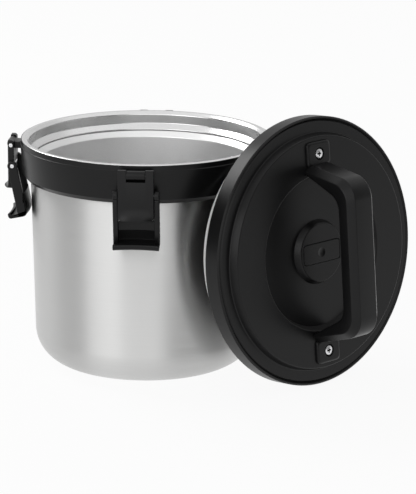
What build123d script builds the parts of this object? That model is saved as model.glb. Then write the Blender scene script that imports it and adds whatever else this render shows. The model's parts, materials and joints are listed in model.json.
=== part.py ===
"""Insulated serving crock: a double-wall steel pot with a latching collar, and its lid leaning on it.

Millimetres, +Z up. The origin is the middle of the base on the floor. The front latch faces -Y.
"""

import os
from math import cos, radians, sin, sqrt

from build123d import *

os.makedirs("parts", exist_ok=True)

# Crock
crock_height = 182.0
rim_radius = 100.0
steel = 1.0
collar_overhang = 8.0
shell_draft = 3.5
shell_corner = 28.0
foot_share = 0.576
base_flange = 11.0
base_recess = 4.0
dimple_radius = 6.0
dimple_slope = 1.5
dimple_depth = 2.0
vent_hole = 1.2
vacuum_gap = 5.0
getter_radius = 8.0
getter_height = 2.0

# Mouth of the liner, measured down from the rim
rim_width = 7.0
rim_roll = 2.4
rim_lip = 2.2
sheet_bend = 1.1
neck_depth = 9.8
ledge_rise = 4.1
ledge_step = 1.3
shoulder_rise = 4.4
shoulder_run = 3.6
liner_draft = 2.5
liner_corner = 22.0

# Collar
collar_height = 31.0
collar_chamfer_rise = 3.6
collar_chamfer_run = 3.2
collar_draft = 1.6
collar_step_height = 3.0
collar_step = 0.6
collar_wall = 3.0
flare_rise = 6.0
seam_rise = 2.0
seat_gap = 0.05

# Latches
latch_angles = {"front": -90.0, "left": 180.0, "right": 0.0, "back": 90.0}
pin_radius = 1.5
press_gap = 0.03
running_gap = 0.06
side_gap = 0.4
lug_reach = 6.7
lever_pin_drop = 6.2
lever_width = 27.5
lever_thickness = 4.8
lever_top = 4.2
lever_length = 36.0
notch_width = 14.8
knuckle_radius = 3.6
knuckle_gap = 1.2
lug_root = 3.4
lug_saddle = 1.5
hook_pin_inset = 1.3
hook_pin_below = 16.0
lever_boss = 3.2
lever_round = 0.8
lever_crown = 2.4
lip_height = 8.5
lip_flare = 2.0
lip_edge = 0.9
lip_hollow = 1.2
lip_corner = 6.5
arm_thickness = 3.8
arm_width = 7.6
boss_radius = 4.4
hook_length = 43.0
hook_lean = 11.5
web_thickness = 2.2
web_start = 23.5
toe_reach = 6.4
toe_floor = 2.8
toe_lip_height = 4.8
toe_lip = 2.6
toe_radius = 101.5
web_bulge = 1.6
web_bevel = 17.0

# Lid, heights measured from its flat outer ring
lid_overhang = 5.4
skirt_height = 14.0
lid_wall = 3.0
edge_bevel = 0.8
moulded_round = 1.0
groove_inset = 2.8
groove_width = 2.2
groove_depth = 1.2
plateau_inset = 12.1
plateau_slope = 2.3
plateau_height = 6.5
dish_inset = 29.5
dish_slope = 3.0
dish_floor = 1.2
plug_clearance = 2.8
plug_depth = 32.5
plug_taper = 4.6
plug_wall = 2.5
flange_recess = 1.0
ring_gap = 0.3
gasket_wall = 1.7
gasket_height = 5.4
gasket_bevel = 1.4
gasket_toe = 2.6
foam_gap = 0.2

# Where the lid stands
lid_bearing = 46.5
lid_tilt = 5.2
lean_drop = 1.9
lean_share = 0.995
lean_gap = 0.54

# Handle
screw_inset = 13.2
pad_width = 24.6
pad_length = 19.0
pad_top = 8.8
pad_corner = 4.0
pocket_depth = 2.6
pocket_gap = 0.3
boss_margin = 3.0
boss_depth = 6.0
grip_width = 28.0
grip_thickness = 14.0
grip_top = 53.6
grip_chamfer = 5.2
leg_inset = 7.3
leg_thickness = 8.0
leg_slope = 10.5
shoulder_inset = 14.0
bend_out = 18.0
bend_in = 14.0
screw_head = 3.75
screw_head_height = 2.4
screw_head_taper = 12.0
screw_shank = 2.0
screw_length = 8.4
screw_sink = 2.2
screw_slot = 0.9
screw_slot_depth = 1.2
screw_hole_gap = 0.2

# Vent
bezel_radius = 25.5
bezel_top = 6.0
bezel_round = 1.0
button_length = 39.0
button_width = 15.6
button_corner = 1.6
button_thickness = 2.2
button_gap = 0.25
cup_wall = 1.5
cup_gap = 0.2
spring_length = 6.8
dimple_mouth = 3.8
dimple_sink = 1.0
dimple_taper = 40.0
stem_radius = 2.5
stem_gap = 0.1
seal_radius = 8.0
seal_thickness = 2.0
spring_wire = 0.5
spring_radius = 4.6
spring_turns = 3
spring_wire_sides = 6
spring_seat = 0.1

# Heights and radii that follow from the sizes above
collar_bottom = crock_height - collar_height
collar_top = crock_height - rim_lip - seat_gap
collar_edge = collar_top - collar_step_height - collar_step
collar_foot = collar_bottom + collar_chamfer_rise
seam_z = collar_bottom + seam_rise
pin_z = crock_height - lever_pin_drop
hook_pin_z = pin_z - hook_pin_below
neck_radius = rim_radius - rim_width
shell_radius = rim_radius - collar_overhang
shell_base_radius = shell_radius - shell_draft
foot_inner_radius = foot_share * shell_base_radius
getter_offset = (foot_inner_radius - base_flange + dimple_radius) / 2
lever_pin_radius = rim_radius + lug_reach
hook_pin_radius = lever_pin_radius - hook_pin_inset
lid_radius = rim_radius + lid_overhang
groove_radius = lid_radius - groove_inset
plateau_foot = lid_radius - plateau_inset
plateau_radius = plateau_foot - plateau_slope
dish_radius = plateau_radius - dish_inset
plug_radius = neck_radius - plug_clearance
screw_reach = plateau_radius - screw_inset
leg_foot_out = screw_reach - leg_inset
leg_foot_in = leg_foot_out - leg_thickness
shoulder_out = leg_foot_out - leg_slope
shoulder_in = shoulder_out - shoulder_inset
bore_radius = neck_radius - ledge_rise - shoulder_run
jacket_radius = rim_radius - collar_wall - seat_gap
liner_floor = base_recess + vacuum_gap


def radial_plane(angle):
    """Upright plane through the axis: local x points outward at the angle, local y points up."""
    a = radians(angle)
    return Plane((0, 0, 0), x_dir=(cos(a), sin(a), 0), z_dir=(sin(a), -cos(a), 0))


def finish(part, name):
    """Label a finished piece and write its file."""
    part.label = name
    export_step(part, f"parts/{name}.step")


# Inner liner: rounded floor, drafted wall and flared shoulder, as one bent sheet
z_neck = crock_height - neck_depth
z_ledge = z_neck - ledge_rise
z_step = z_ledge - ledge_step
z_wall = z_step - shoulder_rise
ledge_radius = neck_radius - ledge_rise
liner_base_radius = bore_radius - liner_draft
with BuildPart() as inner_liner:
    with BuildSketch(Plane.XZ):
        with BuildLine():
            inside = Polyline(
                (0, liner_floor + steel),
                (liner_base_radius, liner_floor + steel),
                (bore_radius, z_wall),
                (ledge_radius, z_step),
            )
            floor_corner = inside.vertices().sort_by_distance((liner_base_radius, liner_floor))[0]
            fillet(floor_corner, radius=liner_corner)
            offset(amount=steel, side=Side.RIGHT)
        make_face()
    revolve(axis=Axis.Z)
finish(inner_liner.part, "inner_liner")

# Neck ring: step above the shoulder, sloped ledge, upright neck and rolled rim, as one bent sheet
with BuildPart() as neck_ring:
    with BuildSketch(Plane.XZ):
        with BuildLine() as mouth:
            bends = [
                (ledge_radius, z_ledge),
                (neck_radius, z_neck),
                (neck_radius, crock_height - rim_roll),
                (neck_radius + rim_roll, crock_height),
                (rim_radius, crock_height),
            ]
            Polyline((ledge_radius, z_step + seat_gap), *bends, (rim_radius, crock_height - rim_lip))
            for bend in bends:
                fillet(mouth.vertices().sort_by_distance(bend)[0], radius=sheet_bend)
            offset(amount=steel, side=Side.RIGHT)
        make_face()
    revolve(axis=Axis.Z)
finish(neck_ring.part, "neck_ring")

# Outer shell: recessed foot, rounded corner and drafted wall up to a seam behind the collar
with BuildPart() as outer_shell:
    with BuildSketch(Plane.XZ):
        with BuildLine():
            outside = Polyline(
                (foot_inner_radius - base_flange, base_recess),
                (foot_inner_radius, base_recess),
                (foot_inner_radius, 0),
                (shell_base_radius, 0),
                (shell_radius, seam_z),
            )
            base_corner = outside.vertices().sort_by_distance((shell_base_radius, 0))[0]
            fillet(base_corner, radius=shell_corner)
            offset(amount=steel, side=Side.LEFT)
        make_face()
    revolve(axis=Axis.Z)
finish(outer_shell.part, "outer_shell")

# Jacket ring: flared ring behind the collar that joins the shell to the rim
with BuildPart() as jacket_ring:
    with BuildSketch(Plane.XZ):
        with BuildLine():
            Polyline(
                (shell_radius, seam_z + seat_gap),
                (shell_radius, seam_z + seam_rise),
                (jacket_radius, seam_z + seam_rise + flare_rise),
                (jacket_radius, crock_height - steel - seat_gap),
            )
            offset(amount=steel, side=Side.LEFT)
        make_face()
    revolve(axis=Axis.Z)
finish(jacket_ring.part, "jacket_ring")

# Base plate: disc under the shell's flange, with a dimple round the pumping hole
plate_radius = foot_inner_radius - seat_gap
with BuildPart() as base_plate:
    with BuildSketch(Plane.XZ):
        with BuildLine():
            Polyline(
                (vent_hole, base_recess - steel + dimple_depth),
                (dimple_radius - dimple_slope, base_recess - steel + dimple_depth),
                (dimple_radius, base_recess - steel),
                (plate_radius, base_recess - steel),
            )
            offset(amount=steel, side=Side.LEFT)
        make_face()
    revolve(axis=Axis.Z)
finish(base_plate.part, "base_plate")

# Vacuum seal: bead that fills the dimple from below
with BuildPart() as vacuum_seal:
    with BuildSketch(Plane.XY.offset(base_recess - steel + dimple_depth)):
        Circle(dimple_radius - dimple_slope)
    extrude(amount=-dimple_depth)
    fillet(vacuum_seal.edges().group_by(Axis.Z)[0], radius=steel / 2)
finish(vacuum_seal.part, "vacuum_seal")

# Getter: pellet on the base plate, in the vacuum
with BuildPart() as getter:
    with BuildSketch(Plane.XY.offset(base_recess)):
        with Locations((getter_offset, 0)):
            Circle(getter_radius)
    extrude(amount=getter_height)
finish(getter.part, "getter")

# Collar: drafted ring with a stepped top edge and a lug for each latch
lug_half = notch_width / 2 - side_gap
face_bottom_radius = rim_radius - collar_draft
with BuildPart() as collar:
    with BuildSketch(Plane.XZ):
        with BuildLine():
            Polyline(
                (jacket_radius + seat_gap, collar_top),
                (rim_radius - collar_step, collar_top),
                (rim_radius - collar_step, collar_top - collar_step_height),
                (rim_radius, collar_edge),
                (face_bottom_radius, collar_foot),
                (face_bottom_radius - collar_chamfer_run, collar_bottom),
                (shell_radius + seat_gap, collar_bottom),
                (shell_radius + seat_gap, seam_z + seam_rise),
                (jacket_radius + seat_gap, seam_z + seam_rise + flare_rise),
                close=True,
            )
        make_face()
    revolve(axis=Axis.Z)
    lug_foot = rim_radius - collar_step - collar_draft
    for angle in latch_angles.values():
        with BuildSketch(radial_plane(angle)):
            with BuildLine():
                Polyline(
                    (lever_pin_radius, pin_z + knuckle_radius),
                    (lever_pin_radius, pin_z - knuckle_radius),
                    (lug_foot, pin_z - knuckle_radius),
                    (lug_foot, pin_z + lug_root),
                )
                ThreePointArc(
                    (lug_foot, pin_z + lug_root),
                    ((lug_foot + lever_pin_radius) / 2, pin_z + lug_saddle),
                    (lever_pin_radius, pin_z + knuckle_radius),
                )
            make_face()
            with Locations((lever_pin_radius, pin_z)):
                Circle(knuckle_radius)
                Circle(pin_radius + press_gap, mode=Mode.SUBTRACT)
        extrude(amount=lug_half, both=True)
finish(collar.part, "collar")

# Lever pins: one through each lug and the ears of its lever
with BuildPart() as lever_pins:
    for angle in latch_angles.values():
        with BuildSketch(radial_plane(angle)):
            with Locations((lever_pin_radius, pin_z)):
                Circle(pin_radius)
        extrude(amount=lever_width / 2, both=True)
finish(lever_pins.part, "lever_pins")

# Latches: a lever on each lug, and a hook hung on a pin in the lever
lever_in = lever_pin_radius - lever_thickness / 2
lever_out = lever_pin_radius + lever_thickness / 2
lever_z_top = pin_z + lever_top
lever_z_bottom = lever_z_top - lever_length
scoop_z = lever_z_bottom + lip_height
lip_z = lever_z_bottom + lip_edge
arm_in = lever_width / 2 + side_gap
hook_half = arm_in + arm_thickness
arm_half = arm_width / 2
toe_tip = arm_half + toe_reach
toe_centre = toe_tip + toe_radius
web_radius = toe_centre + arm_half + web_bulge

for side, angle in latch_angles.items():
    upright = radial_plane(angle)
    a = radians(angle)
    lean = radians(hook_lean)
    outward = Vector(cos(a), sin(a), 0)
    hook_pivot = outward * hook_pin_radius + Vector(0, 0, hook_pin_z)
    hook_out = outward * cos(lean) - Vector(0, 0, sin(lean))
    hook_up = outward * sin(lean) + Vector(0, 0, cos(lean))
    hook_plane = Plane(hook_pivot, x_dir=hook_out, z_dir=upright.z_dir)
    toe_plane = Plane(hook_pivot - hook_up * hook_length, x_dir=hook_out, z_dir=hook_up)

    with BuildPart() as lever:
        with BuildSketch(upright):
            with BuildLine():
                Polyline(
                    (lever_out, scoop_z),
                    (lever_out, lever_z_top - lever_round),
                    (lever_out - lever_round, lever_z_top),
                    (lever_in + lever_crown, lever_z_top),
                )
                RadiusArc(
                    (lever_in + lever_crown, lever_z_top),
                    (lever_in, lever_z_top - lever_crown),
                    -lever_crown,
                )
                Polyline(
                    (lever_in, lever_z_top - lever_crown),
                    (lever_in, lever_z_bottom),
                    (lever_out + lip_flare, lever_z_bottom),
                    (lever_out + lip_flare, lip_z),
                )
                ThreePointArc(
                    (lever_out + lip_flare, lip_z),
                    (lever_out + lip_flare / 2 - lip_hollow, (lip_z + scoop_z) / 2),
                    (lever_out, scoop_z),
                )
            make_face()
            with Locations((hook_pin_radius, hook_pin_z)):
                Circle(lever_boss)
        extrude(amount=lever_width / 2, both=True)
        with BuildSketch(upright):
            with Locations((lever_pin_radius, lever_z_top)):
                Rectangle(2 * lever_thickness, 2 * (lever_top + knuckle_radius + knuckle_gap))
        extrude(amount=notch_width / 2, both=True, mode=Mode.SUBTRACT)
        with BuildSketch(upright):
            with Locations((lever_pin_radius, pin_z)):
                Circle(pin_radius + running_gap)
            with Locations((hook_pin_radius, hook_pin_z)):
                Circle(pin_radius + press_gap)
        extrude(amount=lever_width, both=True, mode=Mode.SUBTRACT)
        lip_ends = lever.faces().sort_by(Axis.Z)[0].edges().filter_by(Axis((0, 0, 0), tuple(outward)))
        fillet(lip_ends, radius=lip_corner)
    finish(lever.part, f"latch_lever_{side}")

    with BuildPart() as hook_pin:
        with BuildSketch(upright):
            with Locations((hook_pin_radius, hook_pin_z)):
                Circle(pin_radius)
        extrude(amount=hook_half, both=True)
    finish(hook_pin.part, f"hook_pin_{side}")

    with BuildPart() as hook:
        with BuildSketch(hook_plane):
            with Locations((0, -hook_length / 2)):
                Rectangle(arm_width, hook_length)
            Circle(boss_radius)
        extrude(amount=hook_half, both=True)
        with BuildSketch(hook_plane):
            Rectangle(2 * hook_length, 2 * (hook_length + boss_radius))
        extrude(amount=arm_in, both=True, mode=Mode.SUBTRACT)
        with BuildSketch(hook_plane):
            Circle(pin_radius + running_gap)
        extrude(amount=hook_half, both=True, mode=Mode.SUBTRACT)
        for inner, outer, height in (
            (web_radius - web_thickness, web_radius, hook_length - web_start),
            (toe_radius, web_radius, toe_floor),
            (toe_radius, toe_radius + toe_lip, toe_lip_height),
        ):
            with BuildSketch(toe_plane):
                with Locations((toe_centre, 0)):
                    Circle(outer)
                    Circle(inner, mode=Mode.SUBTRACT)
                Rectangle(2 * toe_radius, 2 * hook_half, mode=Mode.INTERSECT)
            extrude(amount=height)
        with BuildSketch(hook_plane):
            with BuildLine():
                Polyline(
                    (toe_centre - web_radius, -web_start),
                    (arm_half, -web_start),
                    (arm_half, -web_start - web_bevel),
                    close=True,
                )
            make_face()
        extrude(amount=arm_in, both=True, mode=Mode.SUBTRACT)
    finish(hook.part, f"latch_hook_{side}")

# Where the lid stands: its skirt on the floor, its gasket leaning on the collar just below the widest edge,
# or as high up the collar as the gasket reaches
bearing = radians(lid_bearing)
tilt = radians(lid_tilt)
plug_foot = plug_radius - plug_taper
gasket_foot = plug_foot + gasket_toe
lid_z = (lid_radius - moulded_round) * cos(tilt) + (skirt_height - moulded_round) * sin(tilt) + moulded_round
plug_z = lid_z - plug_depth * sin(tilt)
lean_rise = min((collar_edge - lean_drop - plug_z) / cos(tilt), gasket_foot * lean_share)
lid_shift = sqrt(gasket_foot**2 - lean_rise**2)
lean_z = plug_z + lean_rise * cos(tilt)
on_face = rim_radius - collar_draft * (collar_edge - lean_z) / (collar_edge - collar_foot)
on_chamfer = face_bottom_radius - collar_chamfer_run * (collar_foot - lean_z) / collar_chamfer_rise
lean_radius = min(on_face, on_chamfer)
lid_reach = lean_radius + lean_gap + (plug_depth + (lean_z - lid_z) * sin(tilt)) / cos(tilt)
ahead = Vector(sin(bearing), -cos(bearing), 0)
across = Vector(cos(bearing), sin(bearing), 0)
lid_normal = ahead * cos(tilt) + Vector(0, 0, sin(tilt))
lid_plane = Plane(
    ahead * lid_reach + across * lid_shift + Vector(0, 0, lid_z), x_dir=across, z_dir=lid_normal
)
lid_axis = Axis(lid_plane.origin, lid_normal)
lid_section = Plane(lid_plane.origin, x_dir=across, z_dir=lid_plane.y_dir * -1)
handle_section = Plane(lid_plane.origin, x_dir=lid_plane.y_dir, z_dir=across)
screw_places = [(0, screw_reach), (0, -screw_reach)]

# Sizes inside the lid
skirt_inner = lid_radius - lid_wall
flange_z = -skirt_height + flange_recess
well_floor = bezel_top - button_thickness - spring_length
well_length = button_length + 2 * button_gap
well_width = button_width + 2 * button_gap
cup_length = well_length + 2 * cup_wall
cup_width = well_width + 2 * cup_wall
pocket_floor = plateau_height - pocket_depth
pocket_width = pad_width + 2 * pocket_gap
pocket_length = pad_length + 2 * pocket_gap
screw_seat = pad_top - screw_sink

# Lid cover: skirt, grooved edge, plateau and dish, with pockets for the handle's pads
with BuildPart() as lid_cover:
    with BuildSketch(lid_section) as cover_section:
        with BuildLine():
            Polyline(
                (0, dish_floor),
                (dish_radius - dish_slope, dish_floor),
                (dish_radius, plateau_height),
                (plateau_radius, plateau_height),
                (plateau_foot, 0),
                (groove_radius - groove_width / 2, 0),
                (groove_radius, -groove_depth),
                (groove_radius + groove_width / 2, 0),
                (lid_radius - edge_bevel, 0),
                (lid_radius, -edge_bevel),
                (lid_radius, -skirt_height),
                (skirt_inner, -skirt_height),
                (skirt_inner, -lid_wall),
                (plateau_foot - lid_wall, -lid_wall),
                (plateau_radius - lid_wall, plateau_height - lid_wall),
                (dish_radius + lid_wall, plateau_height - lid_wall),
                (dish_radius + lid_wall - dish_slope, dish_floor - lid_wall),
                (0, dish_floor - lid_wall),
                close=True,
            )
        make_face()
        for edge in (
            (dish_radius, plateau_height),
            (plateau_radius, plateau_height),
            (plateau_foot, 0),
            (lid_radius, -skirt_height),
        ):
            fillet(cover_section.vertices().sort_by_distance(edge)[0], radius=moulded_round)
    revolve(axis=lid_axis)
    with BuildSketch(lid_plane.offset(pocket_floor)):
        with Locations(*screw_places):
            Rectangle(pad_width + 2 * boss_margin, pad_length + 2 * boss_margin)
    extrude(amount=-boss_depth)
    with BuildSketch(lid_plane.offset(pocket_floor)):
        with Locations(*screw_places):
            RectangleRounded(pocket_width, pocket_length, pad_corner + pocket_gap)
    extrude(amount=pocket_depth, mode=Mode.SUBTRACT)
    with BuildSketch(lid_plane.offset(pocket_floor)):
        with Locations(*screw_places):
            Circle(screw_shank + press_gap)
    extrude(amount=-(screw_length - screw_seat + pocket_floor), mode=Mode.SUBTRACT)
    with BuildSketch(lid_plane.offset(dish_floor)):
        Rectangle(cup_length + 2 * cup_gap, cup_width + 2 * cup_gap)
    extrude(amount=-lid_wall, mode=Mode.SUBTRACT)
finish(lid_cover.part, "lid_cover")

# Lid base: flange inside the skirt and the tapered plug
with BuildPart() as lid_base:
    with BuildSketch(lid_section):
        with BuildLine():
            Polyline(
                (0, -plug_depth),
                (plug_foot, -plug_depth),
                (plug_radius, -plug_depth + plug_taper),
                (plug_radius, flange_z),
                (skirt_inner - ring_gap, flange_z),
            )
            offset(amount=plug_wall, side=Side.LEFT)
        make_face()
    revolve(axis=lid_axis)
    with BuildSketch(lid_plane.offset(-plug_depth)):
        Circle(stem_radius + stem_gap)
    extrude(amount=plug_wall, mode=Mode.SUBTRACT)
finish(lid_base.part, "lid_base")

# Lid insulation: foam that fills the plug, with room for the vent's cup and stem
foam_radius = plug_radius - plug_wall - foam_gap
foam_bottom = -plug_depth + plug_wall
with BuildPart() as lid_insulation:
    with BuildSketch(lid_section):
        with BuildLine():
            Polyline(
                (0, foam_bottom),
                (foam_radius - plug_taper, foam_bottom),
                (foam_radius, foam_bottom + plug_taper),
                (foam_radius, pocket_floor - boss_depth - foam_gap),
                (0, pocket_floor - boss_depth - foam_gap),
                close=True,
            )
        make_face()
    revolve(axis=lid_axis)
    with BuildSketch(lid_plane):
        Rectangle(cup_length + 2 * cup_gap, cup_width + 2 * cup_gap)
    extrude(amount=well_floor - cup_wall - foam_gap, mode=Mode.SUBTRACT)
    with BuildSketch(lid_plane):
        Circle(stem_radius + stem_gap)
    extrude(amount=-plug_depth, mode=Mode.SUBTRACT)
finish(lid_insulation.part, "lid_insulation")

# Lid gasket: ring round the plug's tapered corner, with a sloped sealing face
gasket_in = plug_radius + seat_gap
gasket_out = plug_radius + gasket_wall
with BuildPart() as lid_gasket:
    with BuildSketch(lid_section):
        with BuildLine():
            Polyline(
                (gasket_in, -plug_depth + plug_taper),
                (gasket_in, -plug_depth + plug_taper + gasket_height),
                (gasket_out - gasket_bevel, -plug_depth + plug_taper + gasket_height),
                (gasket_out, -plug_depth + plug_taper + gasket_height - gasket_bevel),
                (gasket_out, -plug_depth + plug_taper - gasket_wall / 2),
                (gasket_foot, -plug_depth),
                (gasket_in - plug_taper, -plug_depth),
                close=True,
            )
        make_face()
    revolve(axis=lid_axis)
finish(lid_gasket.part, "lid_gasket")

# Handle: bail with sloped legs, bevelled grip and a screwed pad at each end
leg_z = plateau_height + seat_gap
with BuildPart() as handle:
    with BuildSketch(handle_section) as bail:
        with BuildLine():
            Polyline(
                (leg_foot_in, leg_z),
                (shoulder_in, grip_top - grip_thickness),
                (-shoulder_in, grip_top - grip_thickness),
                (-leg_foot_in, leg_z),
                (-leg_foot_out, leg_z),
                (-shoulder_out, grip_top),
                (shoulder_out, grip_top),
                (leg_foot_out, leg_z),
                close=True,
            )
        make_face()
        for reach, height, bend in (
            (shoulder_in, grip_top - grip_thickness, bend_in),
            (shoulder_out, grip_top, bend_out),
        ):
            for place in ((reach, height), (-reach, height)):
                fillet(bail.vertices().sort_by_distance(place)[0], radius=bend)
    extrude(amount=grip_width / 2, both=True)
    outer_face = handle.faces().sort_by(lid_axis)[-1]
    chamfer(outer_face.edges().filter_by(Axis((0, 0, 0), tuple(lid_plane.y_dir))), length=grip_chamfer)
    with BuildSketch(lid_plane.offset(pocket_floor)):
        with Locations(*screw_places):
            RectangleRounded(pad_width, pad_length, pad_corner)
    extrude(amount=pad_top - pocket_floor)
    with BuildSketch(lid_plane.offset(pad_top)):
        with Locations(*screw_places):
            Circle(screw_head + screw_hole_gap)
    extrude(amount=-screw_sink, mode=Mode.SUBTRACT)
    with BuildSketch(lid_plane.offset(pad_top)):
        with Locations(*screw_places):
            Circle(screw_shank + screw_hole_gap)
    extrude(amount=pocket_floor - pad_top, mode=Mode.SUBTRACT)
finish(handle.part, "handle")

# Handle screws: crossed pan heads sunk in the pads, shanks in the cover
with BuildPart() as handle_screws:
    with BuildSketch(lid_plane.offset(screw_seat)):
        with Locations(*screw_places):
            Circle(screw_head)
    extrude(amount=screw_head_height, taper=screw_head_taper)
    with BuildSketch(lid_plane.offset(screw_seat)):
        with Locations(*screw_places):
            Circle(screw_shank)
    extrude(amount=-screw_length)
    with BuildSketch(lid_plane.offset(screw_seat + screw_head_height)):
        with Locations(*screw_places):
            Rectangle(screw_head, screw_slot)
            Rectangle(screw_slot, screw_head)
    extrude(amount=-screw_slot_depth, mode=Mode.SUBTRACT)
finish(handle_screws.part, "handle_screws")

# Vent bezel: disc on the dish with a cup for the button
with BuildPart() as vent_bezel:
    with BuildSketch(lid_plane.offset(dish_floor)):
        Circle(bezel_radius)
    extrude(amount=bezel_top - dish_floor)
    fillet(vent_bezel.edges().sort_by(lid_axis)[-1], radius=bezel_round)
    with BuildSketch(lid_plane.offset(dish_floor)):
        Rectangle(cup_length, cup_width)
    extrude(amount=well_floor - cup_wall - dish_floor)
    with BuildSketch(lid_plane.offset(bezel_top)):
        RectangleRounded(well_length, well_width, button_corner + button_gap)
    extrude(amount=well_floor - bezel_top, mode=Mode.SUBTRACT)
    with BuildSketch(lid_plane.offset(well_floor)):
        Circle(stem_radius + stem_gap)
    extrude(amount=-cup_wall, mode=Mode.SUBTRACT)
finish(vent_bezel.part, "vent_bezel")

# Vent button: oblong tab flush with the bezel, with a round finger dimple
with BuildPart() as vent_button:
    with BuildSketch(lid_plane.offset(bezel_top)):
        RectangleRounded(button_length, button_width, button_corner)
    extrude(amount=-button_thickness)
    with BuildSketch(lid_plane.offset(bezel_top)):
        Circle(dimple_mouth)
    extrude(amount=-dimple_sink, taper=dimple_taper, mode=Mode.SUBTRACT)
finish(vent_button.part, "vent_button")

# Vent stem: rod from the button to the seal under the plug
with BuildPart() as vent_stem:
    with BuildSketch(lid_plane.offset(bezel_top - button_thickness)):
        Circle(stem_radius)
    extrude(amount=button_thickness - bezel_top - plug_depth)
finish(vent_stem.part, "vent_stem")

# Vent seal: soft disc on the stem's foot that closes the plug's hole
with BuildPart() as vent_seal:
    with BuildSketch(lid_plane.offset(-plug_depth)):
        Circle(seal_radius)
    extrude(amount=-seal_thickness)
    fillet(vent_seal.edges().sort_by(lid_axis)[0], radius=seal_thickness / 2)
finish(vent_seal.part, "vent_seal")

# Vent spring: coil round the stem, from the cup's floor to the button
coil_height = spring_length - 2 * spring_wire - 2 * spring_seat
coil_plane = lid_plane.offset(well_floor + spring_wire + spring_seat)
with BuildPart() as vent_spring:
    with BuildLine():
        coil = Helix(coil_height / spring_turns, coil_height, spring_radius, center=tuple(coil_plane.origin),
                     direction=tuple(lid_normal))
    with BuildSketch(Plane(coil @ 0, z_dir=coil % 0)):
        RegularPolygon(spring_wire, spring_wire_sides)
    sweep(path=coil)
finish(vent_spring.part, "vent_spring")
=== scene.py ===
"""Looks of the insulated serving crock: brushed steel pot, moulded latches and the leaning lid."""

import json
from math import cos, pi, radians, sin

import bmesh
import bpy
import numpy as np
from bpy.props import FloatProperty, FloatVectorProperty, IntProperty, PointerProperty
from mathutils import Matrix, Vector


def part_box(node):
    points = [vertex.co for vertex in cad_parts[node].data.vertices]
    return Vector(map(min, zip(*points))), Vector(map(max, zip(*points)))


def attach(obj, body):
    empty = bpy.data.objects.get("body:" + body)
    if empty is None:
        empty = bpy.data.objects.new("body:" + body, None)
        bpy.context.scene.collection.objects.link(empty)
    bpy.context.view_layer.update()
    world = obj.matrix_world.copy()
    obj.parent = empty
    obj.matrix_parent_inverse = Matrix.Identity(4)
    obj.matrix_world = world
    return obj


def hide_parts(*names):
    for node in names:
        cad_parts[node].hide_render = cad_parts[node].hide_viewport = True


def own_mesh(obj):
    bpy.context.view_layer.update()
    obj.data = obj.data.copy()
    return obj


bl_info = {
    "name": "Insulated serving crock",
    "version": (1, 0, 0),
    "blender": (4, 5, 0),
    "location": "3D View > Sidebar > Crock",
    "description": "Dresses the packed crock with smooth pieces, finishes and a plain studio",
    "category": "Object",
}

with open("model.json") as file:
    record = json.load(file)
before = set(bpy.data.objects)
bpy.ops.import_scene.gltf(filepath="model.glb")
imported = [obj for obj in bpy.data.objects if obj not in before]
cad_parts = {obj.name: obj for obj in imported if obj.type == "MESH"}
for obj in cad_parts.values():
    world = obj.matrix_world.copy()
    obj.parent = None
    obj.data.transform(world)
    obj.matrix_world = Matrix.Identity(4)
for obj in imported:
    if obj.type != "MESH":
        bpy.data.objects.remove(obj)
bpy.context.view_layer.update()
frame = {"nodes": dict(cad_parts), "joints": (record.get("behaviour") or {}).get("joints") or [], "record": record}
NODES = frame["nodes"]
JOINTS = {joint["name"]: joint for joint in frame["joints"]}
MM = 0.001
SIDES = ("front", "left", "right", "back")
IMAGE = (416, 494)
SENSOR = 36.0
FIT = 0.05 * MM  # gap between pieces that sit on each other
EDGE = 0.5 * MM  # radius of the latches' rims
RIM_STEPS = 5  # points across such a rim
WIDE_RING, LINER_RING, SMALL_RING, PIN_RING = 384, 256, 192, 32  # points round a piece
PAD_POWER, TAB_POWER = 7, 14  # how square the pads are, and the button with its well
MERGE = 1e-7  # points nearer than this become one
SMOOTH = radians(40)  # edges that bend less than this are shaded smooth
NOISE = (0.3, 0.7)  # usual range of a noise
WORLD_LIGHT = 0.5  # strength of the even light
FLOOR_HALF = 6.0
FLOOR_WHITE = 0.93  # share of white where the floor is seen, and the rest keeps the shadow
WALL = 3.0  # radius and height of the wall that reflections see
WALL_SHADES = (  # bearing in degrees from the camera's, left below zero, and brightness
    (-180, 0.75), (-150, 0.75), (-132, 0.3), (-99, 0.03), (-67, 0.25), (-52, 0.6),
    (-40, 0.9), (-22, 1.4), (-12, 1.45), (-4, 1.4), (8, 1.6), (13, 1.4),
    (21, 0.25), (34, 0.08), (80, 0.4), (118, 0.75), (180, 0.75),
)
LAMPS = (  # name, place, aim, width in metres and watts
    ("key", (-1.45, -1.7, 0.95), (0, 0, 0.1), 1.5, 13),
    ("rim", (-1.3, 0.9, 1.4), (0.1, 0, 0.1), 0.9, 16),
)


def metres(description, default):
    """A size in metres that the user may change."""
    return FloatProperty(description=description, default=default, unit="LENGTH", precision=5)


def length(description, millimetres):
    """A size written in millimetres."""
    return metres(description, millimetres * MM)


def packed(description, node, axis):
    """A size that starts as a packed solid's reach along an axis."""
    return metres(description, float(getattr(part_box(node)[1], axis)))


def colour(description, default):
    """A linear colour that the user may change."""
    return FloatVectorProperty(description=description, default=default, subtype="COLOR", min=0, max=1)


def angle(description, degrees):
    """An angle that the user may change."""
    return FloatProperty(description=description, default=radians(degrees), subtype="ANGLE")


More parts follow.
